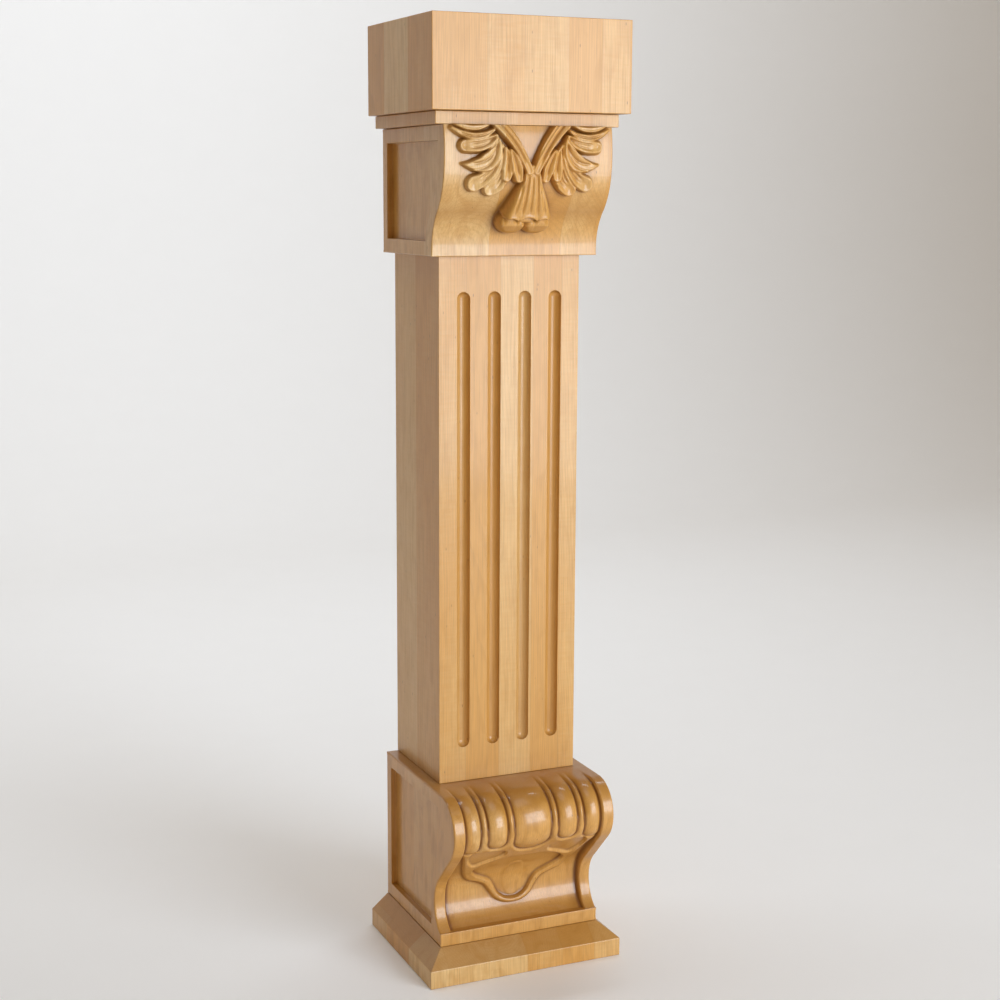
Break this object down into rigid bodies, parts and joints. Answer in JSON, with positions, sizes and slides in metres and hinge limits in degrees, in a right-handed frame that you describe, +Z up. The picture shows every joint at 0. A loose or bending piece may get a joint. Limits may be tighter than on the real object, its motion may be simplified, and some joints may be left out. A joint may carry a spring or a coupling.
{
  "type": "fireplace corbel",
  "caption": "Floor-standing fireplace corbel in hard maple: fluted mantel leg with leaf-carved capital, gadrooned scroll base and plinth.",
  "frame": {"origin": "on the floor under the middle of the whole piece's box", "axes": "+Z up along the leg, -Y out of the carved front, +Y out of the flat back, X across"},
  "size_m": [0.2726, 0.2466, 1.2192],
  "materials": {
    "plinth_maple": "clear satin lacquer on solid maple, glued from upright staves",
    "base_maple": "clear satin lacquer on solid maple, carved front, glued from upright staves",
    "shaft_maple": "clear satin lacquer on solid maple, glued from upright staves",
    "capital_maple": "clear satin lacquer on solid maple, carved front, glued from upright staves",
    "neck_maple": "clear satin lacquer on solid maple, glued from upright staves",
    "cap_maple": "clear satin lacquer on solid maple, glued from upright staves"
  },
  "bodies": {
    "root": {"plinth": "plinth_maple", "base_block": "base_maple", "fluted_shaft": "shaft_maple", "capital_block": "capital_maple", "neck_band": "neck_maple", "cap_block": "cap_maple"}
  },
  "joints": []
}
